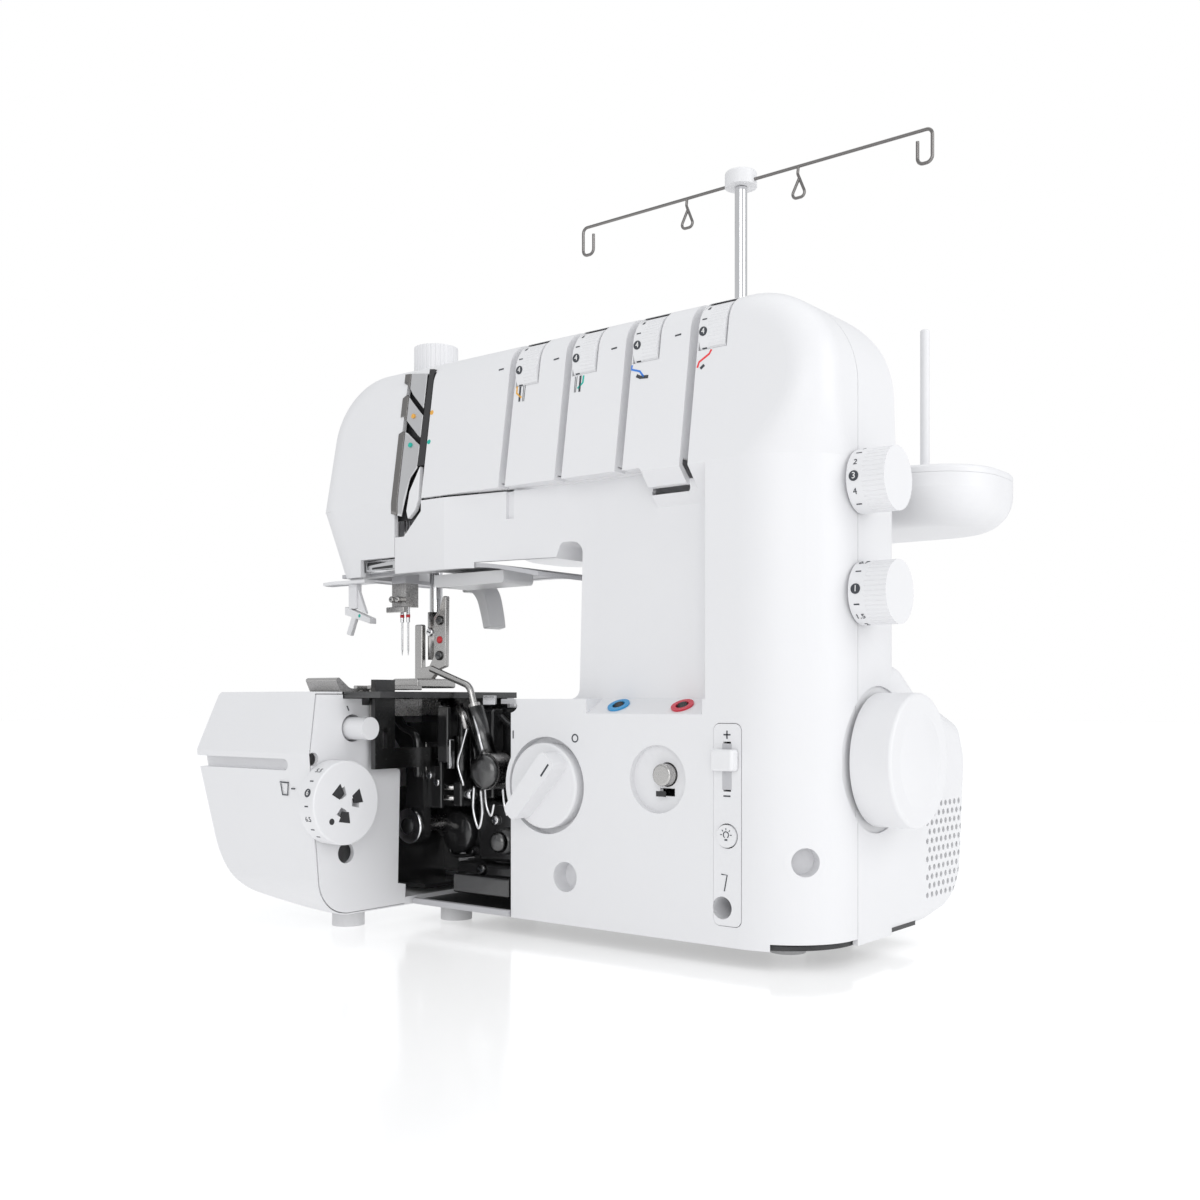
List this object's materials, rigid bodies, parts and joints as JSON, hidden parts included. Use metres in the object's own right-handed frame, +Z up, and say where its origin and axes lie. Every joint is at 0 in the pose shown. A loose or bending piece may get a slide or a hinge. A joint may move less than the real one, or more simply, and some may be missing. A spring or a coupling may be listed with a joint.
{
  "type": "serger overlock machine",
  "caption": "Free-arm overlock sewing machine with open looper area, tension dials along the head, side knobs and handwheel, and a telescopic thread stand.",
  "frame": {"origin": "middle of the outer box, on the table under the feet", "axes": "+Z up, -Y the operator's side, +X towards the handwheel"},
  "size_m": [0.3407, 0.2718, 0.408],
  "materials": {
    "white_plastic": "satin moulded",
    "grey_plastic": "satin moulded",
    "dark_plastic": "fine grained",
    "lamp_plastic": "frosted",
    "foot_rubber": "matt",
    "cast_frame": "black stove enamel",
    "bearing_brass": "turned",
    "chrome": "polished",
    "steel": "ground",
    "dark_steel": "blackened",
    "motor_steel": "painted",
    "belt_rubber": "matt",
    "blue_plastic": "gloss",
    "red_plastic": "gloss"
  },
  "bodies": {
    "housing": {"base_pan": "dark_plastic", "rubber_feet": "foot_rubber", "free_arm_housing": "white_plastic", "free_arm_side_plate": "white_plastic", "face_cover": "white_plastic", "front_cover": "white_plastic", "rear_cover": "white_plastic", "main_frame": "cast_frame", "shaft_bearings": "bearing_brass", "frame_screws": "chrome", "motor": "motor_steel", "drive_belt": "belt_rubber", "needle_plate": "dark_steel", "lower_knife": "steel", "cloth_guide": "steel", "head_underside": "grey_plastic", "lamp_cover": "lamp_plastic", "thread_channel_cover": "chrome", "thread_guide_plate": "chrome", "tension_spindles": "steel", "control_strip": "white_plastic", "blue_port_ring": "blue_plastic", "red_port_ring": "red_plastic", "knob_brackets": "grey_plastic", "spool_shelf": "white_plastic", "spool_shelf_tray": "white_plastic", "spool_pins": "white_plastic", "mast_outer_tube": "chrome", "power_inlet": "dark_plastic"},
    "main_drive": {"main_shaft": "steel", "handwheel": "white_plastic"},
    "motor_rotor": {"motor_pulley": "steel"},
    "needle_bar_group": {"needle_bar": "chrome", "needle_clamp": "steel", "needles": "chrome"},
    "presser_group": {"presser_bar": "chrome", "presser_foot": "steel"},
    "lifter": {"presser_lifter": "white_plastic"},
    "pressure_adjuster": {"pressure_knob": "white_plastic"},
    "threader": {"needle_threader": "white_plastic"},
    "feed": {"feed_dog": "steel"},
    "cutting_knife": {"upper_knife": "dark_steel"},
    "lower_looper_group": {"looper_shaft": "steel", "lower_looper": "dark_steel"},
    "upper_looper_group": {"upper_looper": "steel"},
    "tension_1": {"tension_dial_1": "white_plastic"},
    "tension_2": {"tension_dial_2": "white_plastic"},
    "tension_3": {"tension_dial_3": "white_plastic"},
    "tension_4": {"tension_dial_4": "white_plastic"},
    "knob": {"threader_knob": "white_plastic"},
    "button": {"threader_button": "steel"},
    "slider": {"speed_slider": "white_plastic"},
    "light": {"light_button": "white_plastic"},
    "stitch_length": {"stitch_length_knob": "white_plastic"},
    "differential": {"differential_knob": "white_plastic"},
    "width_dial": {"cutting_width_dial": "white_plastic"},
    "fine_adjuster": {"fine_adjust_knob": "white_plastic"},
    "mast": {"mast_inner_tube": "chrome"},
    "guide_bar": {"thread_guide_bar": "chrome", "mast_cap": "white_plastic"}
  },
  "joints": [
    {"name": "handwheel_turn", "type": "hinge", "parent": "housing", "child": "main_drive", "pos_m": [0.1495, -0.00615, 0.0861], "axis": [1, 0, 0], "continuous": true},
    {"name": "motor_turn", "type": "hinge", "parent": "housing", "child": "motor_rotor", "pos_m": [0.1175, 0.05595, 0.06], "axis": [1, 0, 0], "continuous": true},
    {"name": "needle_bar_stroke", "type": "slide", "parent": "housing", "child": "needle_bar_group", "axis": [0, 0, 1], "range_m": [-0.026, 0.001]},
    {"name": "presser_bar_lift", "type": "slide", "parent": "housing", "child": "presser_group", "axis": [0, 0, 1], "range_m": [0, 0.006]},
    {"name": "presser_lifter_turn", "type": "hinge", "parent": "housing", "child": "lifter", "pos_m": [-0.0875, -0.00705, 0.176], "axis": [0, 1, 0], "range_deg": [-40, 0]},
    {"name": "pressure_knob_turn", "type": "hinge", "parent": "housing", "child": "pressure_adjuster", "pos_m": [-0.1075, -0.02005, 0.288], "axis": [0, 0, 1], "range_deg": [-360, 360]},
    {"name": "threader_pull", "type": "slide", "parent": "housing", "child": "threader", "axis": [0, 0, 1], "range_m": [-0.018, 0]},
    {"name": "feed_stroke", "type": "slide", "parent": "housing", "child": "feed", "axis": [0, 1, 0], "range_m": [-0.0018, 0.0018]},
    {"name": "knife_stroke", "type": "slide", "parent": "housing", "child": "cutting_knife", "axis": [0, 0, 1], "range_m": [-0.005, 0.004]},
    {"name": "lower_looper_swing", "type": "hinge", "parent": "housing", "child": "lower_looper_group", "pos_m": [-0.0925, -0.05205, 0.0465], "axis": [0, 1, 0], "range_deg": [-12, 8]},
    {"name": "upper_looper_swing", "type": "hinge", "parent": "housing", "child": "upper_looper_group", "pos_m": [-0.0335, -0.05405, 0.077], "axis": [0, 1, 0], "range_deg": [-3, 14]},
    {"name": "tension_dial_1_turn", "type": "hinge", "parent": "housing", "child": "tension_1", "pos_m": [-0.0173, -0.04005, 0.2705], "axis": [1, 0, 0], "range_deg": [-160, 160]},
    {"name": "tension_dial_2_turn", "type": "hinge", "parent": "housing", "child": "tension_2", "pos_m": [0.0181, -0.04005, 0.2705], "axis": [1, 0, 0], "range_deg": [-160, 160]},
    {"name": "tension_dial_3_turn", "type": "hinge", "parent": "housing", "child": "tension_3", "pos_m": [0.0535, -0.04005, 0.2705], "axis": [1, 0, 0], "range_deg": [-160, 160]},
    {"name": "tension_dial_4_turn", "type": "hinge", "parent": "housing", "child": "tension_4", "pos_m": [0.0889, -0.04005, 0.2705], "axis": [1, 0, 0], "range_deg": [-160, 160]},
    {"name": "threader_knob_turn", "type": "hinge", "parent": "housing", "child": "knob", "pos_m": [0.0075, -0.06205, 0.072], "axis": [0, 1, 0], "range_deg": [-45, 45]},
    {"name": "threader_button_press", "type": "slide", "parent": "housing", "child": "button", "axis": [0, 1, 0], "range_m": [0, 0.0025], "stiffness_N_per_m": 800},
    {"name": "speed_slide", "type": "slide", "parent": "housing", "child": "slider", "axis": [0, 0, 1], "range_m": [-0.0102, 0.0046]},
    {"name": "light_button_press", "type": "slide", "parent": "housing", "child": "light", "axis": [0, 1, 0], "range_m": [0, 0.001], "stiffness_N_per_m": 600},
    {"name": "stitch_length_turn", "type": "hinge", "parent": "housing", "child": "stitch_length", "pos_m": [0.1495, -0.02475, 0.2041], "axis": [1, 0, 0], "range_deg": [-135, 135]},
    {"name": "differential_turn", "type": "hinge", "parent": "housing", "child": "differential", "pos_m": [0.1495, -0.02315, 0.1571], "axis": [1, 0, 0], "range_deg": [-135, 135]},
    {"name": "cutting_width_turn", "type": "hinge", "parent": "housing", "child": "width_dial", "pos_m": [-0.0815, -0.11595, 0.0634], "axis": [1, 0, 0], "range_deg": [-150, 150]},
    {"name": "fine_adjust_turn", "type": "hinge", "parent": "housing", "child": "fine_adjuster", "pos_m": [-0.0815, -0.10255, 0.0983], "axis": [1, 0, 0], "range_deg": [-120, 120]},
    {"name": "mast_slide", "type": "slide", "parent": "housing", "child": "mast", "axis": [0, 0, 1], "range_m": [-0.083, 0]},
    {"name": "guide_bar_swivel", "type": "hinge", "parent": "mast", "child": "guide_bar", "pos_m": [0.0159, 0.09645, 0.402], "axis": [0, 0, 1], "range_deg": [-90, 90]}
  ],
  "couplings": [
    {"joint": "motor_turn", "follows": "handwheel_turn", "ratio": 3},
    {"joint": "presser_lifter_turn", "follows": "presser_bar_lift", "rad_per_m": -116.36}
  ]
}
